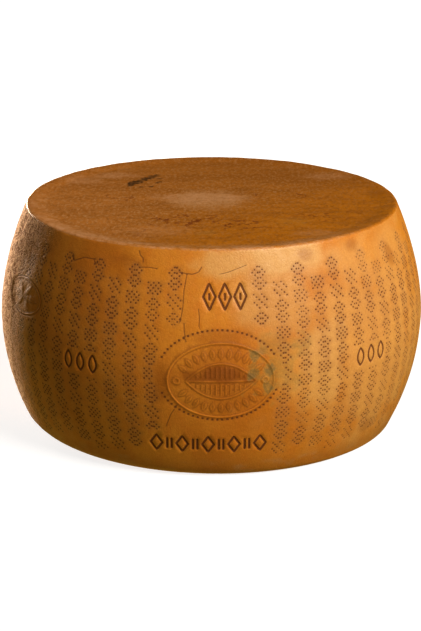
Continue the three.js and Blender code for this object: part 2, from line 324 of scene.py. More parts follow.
def lozenge_line(x, width, tall):
    """Middle line of a standing lozenge drawn with a burned line."""
    slant = BURN_LINE * math.hypot(width, tall) / 2
    w, h = width / 2 - slant / tall, tall / 2 - slant / width
    return np.array([[x - w, 0], [x, -h], [x + w, 0], [x, h], [x - w, 0]])


def bar_line(x, tall):
    """Middle line of an upright bar."""
    return np.array([[x, -tall / 2 + 1], [x, tall / 2 - 1]])


def leaf_edge(length, width, steps=9):
    """Distance along a leaf and half its width there, from stalk to tip."""
    t = np.linspace(0, 1, steps)
    return length * ((1 - LEAF_SKEW) * t + LEAF_SKEW * t * t), 2 * t * (1 - t) * width


def leaf_line(x, y, length, width):
    """Middle line of an upright leaf drawn with a burned line, from its stalk at x, y."""
    along, half = leaf_edge(length, width)
    inner_along, inner = leaf_edge(length - 2 * LEAF_HOLLOW["stalk"], LEAF_HOLLOW["width"])
    along = (along + inner_along + LEAF_HOLLOW["stalk"]) / 2
    half = (half + inner) / 2
    right = np.stack([x + half, y + along], axis=1)
    left = np.stack([x - half, y + along], axis=1)[::-1]
    return np.concatenate([right, left[1:]])


def burned_lines():
    """Every burned line, as its place on the side, its middle line in the drawing and how dark it is."""
    lines = []
    up = UPPER_ORNAMENT
    for x in row(up["lozenges"], up["pitch"]):
        lines += [(up, lozenge_line(x, up["width"], up["tall"])), (up, bar_line(x, up["bar"]))]
    low = LOWER_ORNAMENT
    for x in row(low["lozenges"], low["pitch"]):
        lines.append((low, lozenge_line(x, low["width"], low["tall"])))
    for x in row(low["lozenges"] - 1, low["pitch"]):
        lines += [(low, bar_line(x + dx, LOWER_BARS["tall"])) for dx in row(2, LOWER_BARS["gap"])]
    for leaf in LEAF_ORNAMENTS:
        for x in row(leaf["leaves"], leaf["pitch"]):
            lines.append((leaf, leaf_line(x, -leaf["tall"] / 2, leaf["tall"], leaf["width"])))
    return [(place, line, place["dark"]) for place, line in lines]


def crease_lines():
    """Every crease, as its place on the side, its middle line there, its half-width and its depth."""
    creases = []
    for half_width, depth, points in CREASES:
        angles, heights = np.array(points, float).T
        place = {"angle": angles.mean(), "height": heights.mean()}
        x = LAYOUT_RADIUS * np.radians(angles - place["angle"])
        creases.append((place, np.stack([x, heights - place["height"]], axis=1), half_width, depth))
    return creases


def petals(flower):
    """Leaves from a heart to an oval, each as its stalk, turn, length and width."""
    leaves = []
    for i in range(flower["petals"]):
        around = TAU * i / flower["petals"]
        x, y = flower["half_width"] * math.cos(around), flower["half_height"] * math.sin(around)
        turn, reach = math.atan2(y, x), math.hypot(x, y)
        heart = flower["heart"]
        leaves.append((heart * math.cos(turn), heart * math.sin(turn), turn, reach - heart, flower["width"]))
    return leaves


def band_leaves():
    """Leaves that stand side by side round the oval seal, above and below its middle."""
    band = SEAL_BAND
    fine = np.radians(np.linspace(band["ends"], 180 - band["ends"], 400))
    x, y = band["half_width"] * np.cos(fine), band["half_height"] * np.sin(fine)
    run = np.concatenate([[0], np.cumsum(np.hypot(np.diff(x), np.diff(y)))])
    leaves = []
    for i in range(band["leaves"]):
        t = np.interp(run[-1] * i / (band["leaves"] - 1), run, fine)
        turn = math.atan2(math.sin(t) / band["half_height"], math.cos(t) / band["half_width"])
        x0 = band["half_width"] * math.cos(t) - band["length"] / 2 * math.cos(turn)
        y0 = band["half_height"] * math.sin(t) - band["length"] / 2 * math.sin(turn)
        leaves += [(x0, side * y0, side * turn, band["length"], band["width"]) for side in (1, -1)]
    return leaves


def lens_ridges():
    """The raised lines inside the oval seal: two arcs, the line between them and flutes that fill them."""
    lens, flutes = SEAL_LENS, SEAL_FLUTES
    x = np.linspace(-lens["half_width"], lens["half_width"], 25)
    arc = lens["half_height"] * (1 - (x / lens["half_width"]) ** 2)
    end = lens["divider"] / 2
    lines = [np.stack([x, side * arc], axis=1) for side in (1, -1)] + [np.array([[-end, 0], [end, 0]])]
    ridges = [(line, lens["half_line"], lens["rise"]) for line in lines]
    gap = flutes["gap"]
    for x in row(flutes["count"], flutes["pitch"]):
        top = lens["half_height"] * (1 - (x / lens["half_width"]) ** 2) - gap
        for side in (1, -1):
            ridges.append((np.array([[x, side * gap], [x, side * top]]), flutes["half_line"], flutes["rise"]))
    return ridges


def ring(radius_x, radius_y, count, centre=0.0):
    """A closed oval line."""
    points, _ = ellipse(radius_x, radius_y, count)
    return np.concatenate([points, points[:1]]) + (centre, 0)


def seals():
    """Both seals: place, half-width and half-height of the field, leaves, and raised or cut lines."""
    width, height, boss = SEAL["half_width"], SEAL["half_height"], SEAL_BOSS
    ridges = [(ring(width, height, 90), SEAL_RIM["half_line"], SEAL_RIM["rise"])]
    for side in (-1, 1):
        circle = ring(boss["radius"], boss["radius"], 12, side * boss["reach"])
        ridges.append((circle, boss["half_line"], boss["rise"]))
    line, half = SIDE_EDGE["line"], SIDE_EDGE["half_line"]
    w, h = SIDE_SEAL["half_width"] - line / 2, SIDE_SEAL["half_height"] - line / 2
    edge = [(ring(w, h, 60), half, SIDE_EDGE["rise"])]
    edge.append((ring(w + line, h + line, 60), half, -SIDE_EDGE["cut"]))
    return [
        (SEAL, width, height, band_leaves(), ridges + lens_ridges()),
        (SIDE_SEAL, w, h, petals(SIDE_FLOWER), edge),
    ]


def heading(start, end):
    """Direction from one point to another, of length 1."""
    return (end - start) / np.hypot(*(end - start))


def line_ends(line, offsets):
    """Points round the corners and the ends of a line, at each of several distances from it."""
    if np.allclose(line[0], line[-1]):
        corners = np.concatenate([line[-2:-1], line])
    else:
        corners = line
    points = []
    for before, corner, after in zip(corners[:-2], corners[1:-1], corners[2:]):
        into, out = heading(before, corner), heading(corner, after)
        normal = np.array([-into[1] - out[1], into[0] + out[0]])
        normal /= max(normal @ normal / 2, 0.25)
        points += [corner + side * offset * normal for offset in offsets for side in (-1, 1)]
    if corners is line:
        for end, inner in ((line[0], line[1]), (line[-1], line[-2])):
            out = heading(inner, end)
            aside = np.array([-out[1], out[0]])
            fan = (out, (out + aside) * 0.71, (out - aside) * 0.71, aside, -aside)
            points += [end + offset * d for offset in offsets for d in fan]
    return np.array(points)


def along_line(line, step, offsets):
    """Points beside a line, evenly spaced along it and at each of several distances from it."""
    points = []
    for a, b in zip(line[:-1], line[1:]):
        length = np.hypot(*(b - a))
        count = max(int(round(length / step)), 1)
        t = (np.arange(count) + 0.5) / count
        normal = np.array([a[1] - b[1], b[0] - a[0]]) / max(length, 1e-9)
        middle = a + (b - a) * t[:, None]
        points += [middle + normal * offset for offset in offsets]
    return np.concatenate(points)


def ellipse(half_width, half_height, count, start=0.0):
    """Points spaced evenly along an ellipse, and their directions in degrees."""
    fine = np.linspace(0, TAU, 721)
    x, y = half_width * np.cos(fine), half_height * np.sin(fine)
    length = np.concatenate([[0], np.cumsum(np.hypot(np.diff(x), np.diff(y)))])
    t = np.interp((np.arange(count) + start) / count * length[-1], length, fine)
    return np.stack([half_width * np.cos(t), half_height * np.sin(t)], axis=1), np.degrees(t)


def distance_to_line(line, x, y):
    """Distance of points from a line of several stretches."""
    best = np.full(len(x), 1e9)
    for a, b in zip(line[:-1], line[1:]):
        d = b - a
        t = np.clip(((x - a[0]) * d[0] + (y - a[1]) * d[1]) / max(d @ d, 1e-9), 0, 1)
        best = np.minimum(best, np.hypot(x - a[0] - t * d[0], y - a[1] - t * d[1]))
    return best


def inside_leaf(leaf, x, y):
    """How far points lie inside a leaf's edge, and how far from its midrib."""
    x0, y0, turn, length, width = leaf
    along = (x - x0) * math.cos(turn) + (y - y0) * math.sin(turn)
    aside = np.abs((y - y0) * math.cos(turn) - (x - x0) * math.sin(turn))
    part = np.clip(along / length, 0, 1)
    even = 1 - LEAF_SKEW
    t = (-even + np.sqrt(even ** 2 + 4 * LEAF_SKEW * part)) / (2 * LEAF_SKEW)
    half = 2 * t * (1 - t) * width
    beyond = np.maximum(-along, along - length)
    return np.minimum(half - aside, -np.maximum(beyond, -9)), aside


def oval_distance(x, y, half_width, half_height):
    """Signed distance of points from an oval, close to the oval."""
    f = np.sqrt((x / half_width) ** 2 + (y / half_height) ** 2) + 1e-9
    slope = np.sqrt(x ** 2 / half_width ** 4 + y ** 2 / half_height ** 4) / f
    return (f - 1) / np.maximum(slope, 1e-6)


class Layout:
    """Gathers the points of the rind in the flat layout and keeps them from crowding."""

    CELL = 0.4

    def __init__(self, outline):
        self.outline = outline
        self.across = int(math.ceil(WRAP / self.CELL))
        self.up = int(math.ceil(outline.length / self.CELL)) + 1
        self.taken = np.zeros((self.across, self.up), bool)
        self.points, self.burn, self.sink = [], [], []

    def cells(self, points):
        i = np.floor((points[:, 0] % WRAP) / self.CELL).astype(int) % self.across
        j = np.clip(np.floor(points[:, 1] / self.CELL).astype(int), 0, self.up - 1)
        return i, j

    def mark(self, points, clearance):
        """Keeps later points away from these."""
        reach = int(math.ceil(clearance / self.CELL))
        i, j = self.cells(points)
        for di in range(-reach, reach + 1):
            for dj in range(-reach, reach + 1):
                if math.hypot(di, dj) * self.CELL <= clearance:
                    self.taken[(i + di) % self.across, np.clip(j + dj, 0, self.up - 1)] = True

    def add(self, points, clearance, burn=0.0, sink=0.0, own_gap=0.0):
        """Adds the points that have room, and returns which they were."""
        i, j = self.cells(points)
        free = ~self.taken[i, j] & (points[:, 1] >= 0) & (points[:, 1] <= self.outline.length)
        if own_gap > 0:
            cell = np.floor(points / own_gap).astype(np.int64)
            _, first = np.unique(cell[:, 0] * 100003 + cell[:, 1], return_index=True)
            alone = np.zeros(len(points), bool)
            alone[first] = True
            free &= alone
        self.points.append(points[free])
        self.burn.append(np.broadcast_to(burn, len(points))[free])
        self.sink.append(np.broadcast_to(sink, len(points))[free])
        self.mark(points[free], clearance)
        return free

    def gathered(self):
        points = np.concatenate(self.points)
        points[:, 0] %= WRAP
        return points, np.concatenate(self.burn), np.concatenate(self.sink)


def lay_edges(layout, outline):
    """Closely spaced rings round the foot's edge, the rim and the lip."""
    foot_end, rim_start = outline.s_at(outline.foot), outline.s_at(outline.height - outline.rim)
    foot = [foot_end * part for part in FOOT_ROWS]
    rim = [rim_start + (outline.rim_s - rim_start) * part for part in RIM_ROWS]
    lip = np.linspace(outline.rim_s + LIP_ROWS["start"], outline.length, LIP_ROWS["count"])
    rows = [*foot, *rim, *lip]
    u = np.arange(RING_POINTS) / RING_POINTS * WRAP
    for s in rows:
        room = LAST_ROW_ROOM if s in (rows[0], rows[-1]) else ROW_ROOM
        layout.add(np.stack([u, np.full(RING_POINTS, s)], axis=1), room)


def lay_burned_lines(layout, outline):
    """Points along the burned lines, so that their edges are crisp."""
    for place, line, _ in burned_lines():
        for offset in (*BURN_ROWS, 0):
            points = along_line(line, 1.5, (-offset, offset) if offset else (0,))
            points = np.concatenate([line_ends(line, (offset,)), points] if offset else [line, points])
            points = points[distance_to_line(line, *points.T) > offset * 0.98 - 0.01]
            layout.add(outline.layout(place, *points.T), 0.3, own_gap=0.3)
    for points in layout.points[-3 * len(burned_lines()):]:
        layout.mark(points, 1.3)


def lay_seals(layout, outline):
    """Points along the rims and leaves of both seals."""
    first = len(layout.points)
    for place, _, _, leaves, ridges in seals():
        for line, half, _ in ridges:
            points = along_line(line, 1.5, tuple(half * k for k in RIDGE_ROWS))
            layout.add(outline.layout(place, *points.T), 0, own_gap=0.4)
        for x0, y0, turn, length, width in leaves:
            along, half = leaf_edge(length, width, 10)
            rib = np.stack([along, half * 0], axis=1)
            edge = [rib]
            for side in (-1, 1):
                for out in LEAF_ROWS:
                    edge.append(np.stack([along, side * np.maximum(half + out, 0)], axis=1)[1:-1])
            along, aside = np.concatenate(edge).T
            x = x0 + along * math.cos(turn) - aside * math.sin(turn)
            y = y0 + along * math.sin(turn) + aside * math.cos(turn)
            layout.add(outline.layout(place, x, y), 0.3, own_gap=0.4)
    for points in layout.points[first:]:
        layout.mark(points, 0.75)


def lay_seal_fields(layout, outline, rng):
    """Closely spaced points between the rims and leaves of both seals."""
    for place, w, h, _, _ in seals():
        w, h = w + 2, h + 2
        points = scattered(2 * w, 2 * h, SEAL_GRAIN, rng) - (w, h)
        points = points[(points[:, 0] / w) ** 2 + (points[:, 1] / h) ** 2 < 1]
        layout.add(outline.layout(place, *points.T), 1.2)


def scattered(width, height, gap, rng):
    """Points about a gap apart over a rectangle, in staggered rows moved a little at random."""
    rise = gap * math.sqrt(3) / 2
    x, y = np.meshgrid(np.arange(0, width, gap), np.arange(rise / 2, height, rise))
    x = x + gap / 2 * (np.arange(len(y)) % 2)[:, None]
    points = np.stack([x.ravel(), y.ravel()], axis=1)
    return points + rng.uniform(-0.22, 0.22, points.shape) * gap


def dot_points(centres, strengths, reach, marks, rng):
    """Pricked dots, each a sunk middle and four points round it: the points, how burned and how deep."""
    turn = math.pi / 4 + rng.uniform(-0.25, 0.25, len(centres))[:, None] + np.arange(4) * TAU / 4
    around = centres[:, None] + reach[:, None, None] * np.stack([np.cos(turn), np.sin(turn)], axis=2)
    points = np.concatenate([centres[:, None], around], axis=1)
    burn = np.repeat(0.16 * strengths[:, None], points.shape[1], axis=1)
    sink = np.zeros(points.shape[:2])
    burn[:, 0] = strengths
    sink[:, 0] = mm(marks.dot_depth) * (0.6 + 0.4 * strengths)
    return points, burn, sink


def column_dots(outline, marks, rng):
    """Middles of all dots of the pricked columns as angle in degrees and height, column by column."""
    columns = marks.columns
    step = 360 / columns
    pitch = mm(marks.dot_pitch)
    dots = []
    for k in range(columns):
        angle = COLUMN_PHASE + step * k
        angle = (angle + 180) % 360 - 180
        away = abs(angle - COLUMN_PHASE)
        if any(abs((angle - middle + 180) % 360 - 180) < half for middle, half in BLANK_STRIPS):
            continue
        high = k % 2
        z, end = COLUMN_TOPS[high], COLUMN_ENDS[(k // 2) % 2]
        if away < SHORT_COLUMN["half_angle"]:
            z, end = COLUMN_TOPS[0], SHORT_COLUMN["end"]
        lean = rng.uniform(-COLUMN_LEAN, COLUMN_LEAN)
        motif = k
        while z > end:
            for line in MOTIFS[motif % len(MOTIFS)]:
                for j, mark in enumerate(line):
                    if mark == "x" and z > end - pitch:
                        r = float(outline.radius(np.array(z), outline.foot))
                        across = (j - (DOTS_ACROSS - 1) / 2) * pitch + lean * (z - 120) / 100
                        dots.append((angle + math.degrees(across / r), z))
                z -= pitch
            z -= pitch
            motif += 1
    return np.array(dots)


def clear_of_drawings(angles, heights, outline):
    """Which dots are clear of the seals and the ornaments."""
    clear = np.ones(len(angles), bool)

    def away(place):
        d = (angles - place["angle"] + 180) % 360 - 180
        return np.radians(d) * outline.radius(heights, outline.foot), heights - place["height"]

    for oval in (DOTTED_OVAL, SIDE_SEAL):
        x, y = away(oval)
        w, h = oval["half_width"] + oval["margin"], oval["half_height"] + oval["margin"]
        clear &= (x / w) ** 2 + (y / h) ** 2 > 1
    for ornament in (UPPER_ORNAMENT, LOWER_ORNAMENT, *LEAF_ORNAMENTS):
        x, y = away(ornament)
        w, h = ornament["room"]
        clear &= (np.abs(x) > w) | (np.abs(y) > h)
    return clear


def lay_dots(layout, outline, marks, rng):
    """The pricked columns and the dotted oval round the seal."""
    dots = column_dots(outline, marks, rng)
    dots = dots[clear_of_drawings(*dots.T, outline)]
    centres = np.stack([np.radians(dots[:, 0]) * LAYOUT_RADIUS, outline.s_at(dots[:, 1])], axis=1)
    centres += rng.normal(0, 0.12, centres.shape)
    flat = np.column_stack([centres, np.zeros(len(centres))])
    strength = 0.88 + 0.2 * noise(flat, 45, 3) + 0.14 * noise(flat, 9, 4) + rng.normal(0, 0.07, len(flat))
    # They fade a little to the right, more low at the right edge, and most in the coarse skin at the left.
    degrees, heights = dots.T
    fading = 0.12 * smooth(0, 30, degrees) + 0.25 * smooth(45, 75, degrees) * smooth(200, 90, heights)
    fading += 0.6 * smooth(-56, -68, degrees) * smooth(-125, -105, degrees)
    strength = np.clip(strength - fading, 0.2, 1)

    w, h = DOTTED_OVAL["half_width"], DOTTED_OVAL["half_height"]
    count = int(TAU * math.sqrt((w ** 2 + h ** 2) / 2) / DOTTED_OVAL["pitch"])
    oval, direction = ellipse(w, h, count, 0.5)
    closed = np.ones(count, bool)
    for middle, half in OVAL_GAPS:
        closed &= np.abs((direction - middle + 180) % 360 - 180) > half
    oval = outline.layout(DOTTED_OVAL, *oval[closed].T)
    centres = np.concatenate([centres, oval])
    strength = np.concatenate([strength, np.full(len(oval), 1.0)])
    reach = np.full(len(centres), mm(marks.dot_diameter) * DOT_SKIRT)
    reach[-len(oval):] *= 1.25
    points, burn, sink = dot_points(centres, strength, reach, marks, rng)
    free = ~layout.taken[layout.cells(centres)]
    points, burn, sink = points[free].reshape(-1, 2), burn[free].ravel(), sink[free].ravel()
    layout.add(points, 0, burn, sink)
    layout.mark(centres[free], reach[0] + 0.75)
    return centres[:-len(oval)]


def lay_creases(layout, outline):
    """Points along the creases of the rind."""
    first = len(layout.points)
    for place, line, half_width, _ in crease_lines():
        points = along_line(line, 1.6, tuple(half_width * k for k in CREASE_ROWS))
        layout.add(outline.layout(place, *points.T), 0, own_gap=0.5)
    for points in layout.points[first:]:
        layout.mark(points, 1.2)


def unroll(outline, marks, rng):
    """All points of the side in the flat layout, with how burned and how deep their dots are."""
    layout = Layout(outline)
    lay_edges(layout, outline)
    lay_burned_lines(layout, outline)
    lay_seals(layout, outline)
    dots = lay_dots(layout, outline, marks, rng)
    lay_seal_fields(layout, outline, rng)
    lay_creases(layout, outline)
    fill = scattered(WRAP, outline.length, mm(marks.grain), rng)
    layout.add(fill, 0)
    points, burn, sink = layout.gathered()
    return points, burn, sink, crowding(dots, points, outline)


def crowding(dots, points, outline):
    """How densely pricked dots stand round each point of the layout, from 0 to 1."""
    cells = (int(WRAP) + 1, int(outline.length) + 2)
    counts, _, _ = np.histogram2d(dots[:, 0] % WRAP, dots[:, 1], cells, ((0, WRAP), (0, cells[1])))
    waves = np.fft.fftfreq(cells[0])[:, None] ** 2 + np.fft.fftfreq(cells[1]) ** 2
    soft = np.fft.ifft2(np.fft.fft2(counts) * np.exp(-2 * (math.pi * HALO) ** 2 * waves)).real
    i = np.clip((points[:, 0] * cells[0] / WRAP).astype(int), 0, cells[0] - 1)
    return np.clip(soft[i, points[:, 1].astype(int)] / 0.06, 0, 1)


def triangles(points):
    """Triangles that join flat points."""
    corners, _, faces, _, _, _ = delaunay_2d_cdt([Vector(p) for p in points], [], [], 0, 1e-7)
    if len(corners) != len(points):
        raise RuntimeError("two points of the rind fell together")
    return np.array(faces, int)


def wrapped_triangles(points):
    """Triangles that join the points of the side all round the wheel."""
    left = np.nonzero(points[:, 0] < SEAM_OVERLAP)[0]
    right = np.nonzero(points[:, 0] > WRAP - SEAM_OVERLAP)[0]
    owner = np.concatenate([np.arange(len(points)), left, right])
    spread = np.concatenate([points, points[left] + (WRAP, 0), points[right] - (WRAP, 0)])
    faces = triangles(spread)
    middle = spread[faces, 0].mean(axis=1)
    return owner[faces[(middle >= 0) & (middle < WRAP)]]


def face_points(radius, gap, rng, finer=()):
    """Points over a flat face, closer together in finer rounds given as middle, radius and gap."""
    def within(points, middle, reach):
        return np.hypot(points[:, 0] - middle[0], points[:, 1] - middle[1]) < reach

    points = scattered(2 * radius, 2 * radius, gap, rng) - radius
    points = points[np.hypot(*points.T) < radius - 2.2]
    for middle, reach, fine in finer:
        extra = scattered(2 * reach, 2 * reach, fine, rng) - reach + middle
        points = points[~within(points, middle, reach + gap / 2)]
        points = np.concatenate([points, extra[within(extra, middle, reach)]])
    return points


def seal_relief(points, angle, relief):
    """Presses both seals into a relief, with sunk fields and veined leaves, and finds where it is darkened by
    dirt and painted shade: in its cut lines, beside its raised lines and along the ribs of its leaves.
    """
    dirt_and_shade = np.zeros(len(points))
    for place, w, h, leaves, ridges in seals():
        x, y, near = drawing_coordinates(place, points, angle)
        reach = oval_distance(x, y, w, h)
        near &= reach < 6
        x, y, reach = x[near], y[near], reach[near]
        raised, cut, beside = np.zeros(len(x)), np.zeros(len(x)), np.zeros(len(x))
        for line, half, rise in ridges:
            d = distance_to_line(line, x, y)
            if rise < 0:
                cut = np.maximum(cut, smooth(1.7 * half, 0.4 * half, d))
                relief[near] += rise * smooth(1.7 * half, 0.2 * half, d)
            else:
                raised = np.maximum(raised, rise * smooth(1.6 * half, 0.3 * half, d))
                beside = np.maximum(beside, smooth(2.4, 1.2, d))
        for leaf in leaves:
            depth, aside = inside_leaf(leaf, x, y)
            rib = smooth(0.7, 0.0, aside) * smooth(0.3, 1.2, depth)
            raised = np.maximum(raised, LEAF_RISE * smooth(-0.4, 0.8, depth) - RIB_CUT * rib)
            beside = np.maximum(beside, smooth(-1.8, -0.5, depth))
            beside = beside * (1 - 0.2 * smooth(0.2, 1, depth)) + 0.5 * rib * (depth > 0)
        relief[near] += raised - place["sink"] * smooth(0.8, -0.8, reach)
        # Dirt and painted shade: darker in the cut lines, beside the raised lines and along the ribs of the
        # leaves.
        dirt_and_shade[near] = np.maximum(np.clip(0.8 * beside - 2.8 * raised, 0, 1), cut)
    return relief, dirt_and_shade


def near_line(place, line, points, angle):
    """Which of the wheel's points lie near a line of a drawing, and their distances from it."""
    x, y, near = drawing_coordinates(place, points, angle)
    low, high = line.min(axis=0) - 4, line.max(axis=0) + 4
    near &= (x > low[0]) & (x < high[0]) & (y > low[1]) & (y < high[1])
    return near, distance_to_line(line, x[near], y[near])


def carve(points, angle, relief, burn, depth):
    """Cuts the burned lines and the creases, and returns where the creases are, for the painted shade in
    them.
    """
    inner, outer = BURN_ROWS
    for place, line, dark in burned_lines():
        near, d = near_line(place, line, points, angle)
        swelling = BURN_SWELLING * smooth(2.6, outer, d) * smooth(0.9, outer, d)
        relief[near] -= depth * smooth(outer, inner * 0.4, d) - swelling
        burn[near] = np.maximum(burn[near], dark * smooth(outer, inner, d))
    crease_shade = np.zeros(len(points))
    for place, line, half_width, crease_depth in crease_lines():
        near, d = near_line(place, line, points, angle)
        relief[near] -= 0.3 * crease_depth * smooth(half_width * 2, 0, d)
        crease_shade[near] = np.maximum(crease_shade[near], smooth(half_width * 2.2, half_width * 0.5, d))
    return crease_shade


def patch(points, centre, reach, seed, rough=0.35, wave=14):
    """A soft-edged patch about a point, with an uneven edge: 1 in its middle and 0 outside."""
    d = np.sqrt((((points - np.array(centre)) / np.array(reach)) ** 2).sum(axis=1))
    return smooth(1, 0.35, d + rough * octaves(points, wave, seed))


def on_side(outline, angle, height):
    """The point of the wheel at an angle in degrees and a height."""
    z = np.array([float(height)])
    return outline.place(np.array([math.radians(angle)]), outline.radius(z, outline.foot), z)[0]


def wheel_points(outline, marks, rng):
    """Every point of the wheel with its direction outwards, and the triangles that join them."""
    flat, burn, sink, halo = unroll(outline, marks, rng)
    angle, s = flat[:, 0] / LAYOUT_RADIUS, flat[:, 1]
    r, z = np.interp(s, outline.s, outline.r), np.interp(s, outline.s, outline.z)
    nr, nz = np.interp(s, outline.s, outline.normal_r), np.interp(s, outline.s, outline.normal_z)
    points = [outline.place(angle, r, z)]
    normals = [np.stack([nr * np.sin(angle), -nr * np.cos(angle), nz], axis=1)]
    faces = [wrapped_triangles(flat)]
    count = len(flat)
    for top in (True, False):
        edge = np.nonzero(s == (outline.length if top else 0.0))[0]
        edge = edge[np.argsort(angle[edge])]
        radius = outline.face_radius if top else outline.foot_radius
        finer = CROWN_FINER if top else ()
        inner = face_points(radius, mm(marks.grain) * (CROWN_GRAIN if top else FOOT_GRAIN), rng, finer)
        ring = radius * np.stack([np.sin(angle[edge]), -np.cos(angle[edge])], axis=1)
        owner = np.concatenate([edge, count + np.arange(len(inner))])
        joined = owner[triangles(np.concatenate([ring, inner]))]
        faces.append(joined if top else joined[:, ::-1])
        reach = np.hypot(*inner.T)
        share = LIP_SHARE + (1 - LIP_SHARE) * (1 - reach / radius)
        level = outline.height - outline.dish * share if top else np.zeros(len(inner))
        points.append(outline.place(np.arctan2(inner[:, 0], -inner[:, 1]), reach, level))
        normals.append(np.tile([0, 0, 1.0 if top else -1.0], (len(inner), 1)))
        burn, sink, halo = (np.concatenate([each, np.zeros(len(inner))]) for each in (burn, sink, halo))
        count += len(inner)
    return np.concatenate(points), np.concatenate(normals), np.concatenate(faces), burn, sink, halo


def spread(points, outline, places, seed, wave=12, rough=0.4):
    """The strongest of several soft patches on the side, given as angle, height, reach and strength."""
    total = np.zeros(len(points))
    for i, (angle, height, reach, tall, strength) in enumerate(places):
        at = on_side(outline, angle, height)
        size = (reach, reach, tall)
        total = np.maximum(total, strength * patch(points, at, size, seed + 7 * i, rough, wave))
    return total


def crown_patches(points, height, places, seed, wave=9, rough=0.5):
    """The strongest of several soft patches on the upper face, given as x, y, reaches and strength."""
    total = np.zeros(len(points))
    for i, (x, y, wide, deep, strength) in enumerate(places):
        at, size = (x, y, height), (wide, deep, 30)
        total = np.maximum(total, strength * patch(points, at, size, seed + 7 * i, rough, wave))
    return total


def ink_marks(points, crown):
    """Smudged strokes of ink on the upper face."""
    ink = np.zeros(len(points))
    x, y = points[:, 0] + 1.3 * noise(points, 6, 61), points[:, 1] + 2.5 * noise(points, 6, 62)
    for x0, y0, x1, y1, half, strength in INK_STROKES:
        d = distance_to_line(np.array([[x0, y0], [x1, y1]], float), x, y)
        ink = np.maximum(ink, strength * smooth(half * 1.6, half * 0.5, d))
    return ink * crown * np.clip(0.85 + 0.5 * noise(points, 4, 63), 0, 1)


def shape_rind(outline, marks, rng):
    """The finished rind: its points, triangles and finish values."""
    base, normals, faces, burn, sink, halo = wheel_points(outline, marks, rng)
    angle = np.arctan2(base[:, 0], -base[:, 1])
    degrees = np.degrees(angle)
    z = base[:, 2]
    r = np.hypot(base[:, 0], base[:, 1])
    crown = smooth(0.5, 0.75, normals[:, 2])
    under = smooth(-0.55, -0.95, normals[:, 2])
    side = 1 - crown - under

    # Each noise is given the size of its lumps and a seed of its own. The coarse skin has a wandering
    # edge, which comes further forward near the rim.
    around = (degrees + 270) % 360 - 270 + 4 * octaves(base, 30, 21) - 7 * smooth(180, 225, z)
    coarse = smooth(*COARSE_START, around) * smooth(*COARSE_END, around)
    coarse *= 1 - COARSE_EASING * smooth(*COARSE_EASE, around)
    at = on_side(outline, COARSE_PATCH["angle"], COARSE_PATCH["height"])
    coarse = COARSE_EVERYWHERE + coarse + 0.3 * patch(base, at, COARSE_PATCH["reach"], 22)
    coarse = np.clip(coarse, 0, 1) * side
    relief = -sink
    relief += 0.32 * octaves(base, 62, 31, 2) * side
    relief += 0.08 * noise(base, 17, 33) * side
    relief += 0.3 * coarse * noise(base, 5.5, 34)
    relief, dirt_and_shade = seal_relief(base, angle, relief)
    crease_shade = carve(base, angle, relief, burn, mm(marks.burn_depth))

    height, inner = outline.height, outline.face_radius
    edge = smooth(height - 9, height - 1, z) * smooth(inner - 2, inner + 5, r)
    far = smooth(80, 130, np.abs(degrees))
    relief += 0.4 * edge * noise(base, 11, 35) * (0.3 + 0.7 * far)
    heart = patch(base, (*HEART["middle"], height), HEART["reach"], 23, 0.3, 12) * crown
    board = np.sin(base[:, 1] / 3.4 + 2.2 * noise(base, 60, 36))  # faint straight lines, as of boards
    board *= 0.4 + 0.6 * noise(base * (0.25, 1, 1), 22, 37)
    relief += crown * (0.16 * octaves(base, 26, 38) + 0.1 * board + 0.28 * heart * octaves(base, 5, 39, 2))
    low = smooth(18, 6, z) * side
    relief += low * 0.3 * np.minimum(octaves(base, 9, 40, 2) - 0.1, 0.2)

    points = base + normals * relief[:, None]
    points[:, 2] = np.maximum(points[:, 2], 0)
    scuff = smooth(0.15, 0.5, octaves(base * (1, 1, 2.2), 13, 41))
    scuff *= smooth(24, 14, z) * smooth(0.5, 4, z) * side
    from_worn = np.abs((degrees - LIP_WORN_AT + 180) % 360 - 180)
    lip = smooth(inner - 4, inner + 17, r) * crown
    worn = lip * smooth(95, 35, from_worn) * np.clip(0.75 + octaves(base * (0.6, 1, 1), 9, 43), 0, 1)
    # The patches of painted sheen on the upper face join the worn band inside the rim.
    worn = np.maximum(worn, crown * crown_patches(base, height, CROWN_SHEEN, 131, 12, 0.5))
    stain = spread(base, outline, STAINS, 80, 6, 0.8) * side
    values = {
        # The creases take the burned colour too: painted shade in them.
        "burn": np.maximum(burn, 0.4 * crease_shade),
        # Darker towards the foot: painted contact shade, kept with the dirt and painted shade of the seals.
        "dirt_and_shade": np.maximum(dirt_and_shade, 0.65 * smooth(30, 2, z) * side),
        "scorch": np.clip(halo * (0.75 + 0.5 * noise(base, 25, 42)), 0, 1),
        "crown": np.clip(crown, 0, 1),
        "coarse": coarse,
        "heart": heart,
        "vein": crown * crown_patches(base, height, VEINS, 71, 9, 0.5),
        "blush": spread(base, outline, BLUSHES, 70) * side,
        # Painted light and painted highlight: paler skin where the lamps fall.
        "painted_light": spread(base, outline, PAINTED_LIGHT, 90, 20, 0.5) * side,
        "stain": np.maximum(stain, crown_patches(base, height, CROWN_STAINS, 81, 6, 0.7) * crown),
        # Paler: scuffs and the worn band inside the rim, and the patches of painted sheen.
        "pale": np.clip(worn + 0.8 * scuff, 0, 1),
        "ink": ink_marks(base, crown),
    }
    return points, faces, values


